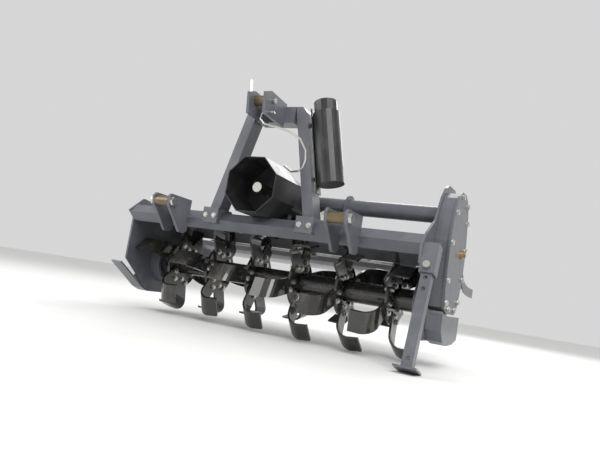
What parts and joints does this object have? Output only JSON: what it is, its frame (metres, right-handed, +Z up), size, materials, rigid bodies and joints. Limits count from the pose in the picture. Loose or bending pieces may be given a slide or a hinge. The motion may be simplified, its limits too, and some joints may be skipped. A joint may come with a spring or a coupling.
{
  "type": "rotary tiller",
  "caption": "Tractor-mounted rotary tiller with a flanged rotor of bent tines, curved hood, hinged tailgate, A-frame mast, link clevises and a sliding stand.",
  "frame": {"origin": "centre of the bounding box in plan, at floor height under the tines and stand", "axes": "+X to the gear case end, +Y to the rear (tailgate), +Z up"},
  "size_m": [1.299, 0.83, 0.8637],
  "materials": {
    "slate_paint": "semi-gloss slate grey paint",
    "black_paint": "glossy black paint",
    "cast_iron": "dark painted casting",
    "black_plastic": "satin black plastic",
    "zinc_steel": "zinc plated",
    "oiled_steel": "oily brown steel",
    "brass": "plain"
  },
  "bodies": {
    "frame": {"canister": "black_plastic", "canister_bracket": "black_paint", "canister_cap": "black_plastic", "cross_tube": "slate_paint", "gear_case": "slate_paint", "gear_case_cover": "slate_paint", "gearbox": "cast_iron", "hinge_rod": "zinc_steel", "hood": "slate_paint", "left_bearing_guard": "slate_paint", "left_hitch_bushing": "oiled_steel", "left_hitch_inner_plate": "slate_paint", "left_hitch_outer_plate": "slate_paint", "left_hitch_pin": "zinc_steel", "left_mast_foot": "slate_paint", "left_mast_leg": "slate_paint", "left_side_plate": "slate_paint", "left_skid": "slate_paint", "mast_crossbar": "slate_paint", "oil_plug": "brass", "pto_shield": "black_plastic", "right_bearing_guard": "slate_paint", "right_hitch_bushing": "oiled_steel", "right_hitch_inner_plate": "slate_paint", "right_hitch_outer_plate": "slate_paint", "right_hitch_pin": "zinc_steel", "right_mast_foot": "slate_paint", "right_mast_leg": "slate_paint", "right_side_plate": "slate_paint", "right_skid": "slate_paint", "shaft_rest": "zinc_steel", "stand_pin": "zinc_steel", "stand_sleeve": "slate_paint", "toolbar": "slate_paint", "top_clevis_left": "slate_paint", "top_clevis_right": "slate_paint", "top_link_bushing": "oiled_steel", "top_link_pin": "zinc_steel", "tube_support": "slate_paint"},
    "rotor": {"rotor_flange_1": "black_paint", "rotor_flange_2": "black_paint", "rotor_flange_3": "black_paint", "rotor_flange_4": "black_paint", "rotor_flange_5": "black_paint", "rotor_flange_6": "black_paint", "rotor_tube": "black_paint"},
    "input": {"input_shaft": "zinc_steel"},
    "tailgate": {"tailgate": "slate_paint"},
    "stand": {"stand_leg": "slate_paint"}
  },
  "joints": [
    {"name": "rotor_spin", "type": "hinge", "parent": "frame", "child": "rotor", "pos_m": [-0.00915, -0.027, 0.205], "axis": [1, 0, 0], "continuous": true},
    {"name": "input_spin", "type": "hinge", "parent": "frame", "child": "input", "pos_m": [-0.00915, -0.027, 0.50099], "axis": [0, 1, 0], "continuous": true},
    {"name": "tailgate_hinge", "type": "hinge", "parent": "frame", "child": "tailgate", "pos_m": [-0.00915, 0.171, 0.336], "axis": [1, 0, 0], "range_deg": [-50, 60]},
    {"name": "stand_slide", "type": "slide", "parent": "frame", "child": "stand", "axis": [0, 0.2756, 0.9613], "range_m": [0, 0.274]}
  ],
  "couplings": [
    {"joint": "input_spin", "follows": "rotor_spin", "ratio": -2.57}
  ]
}
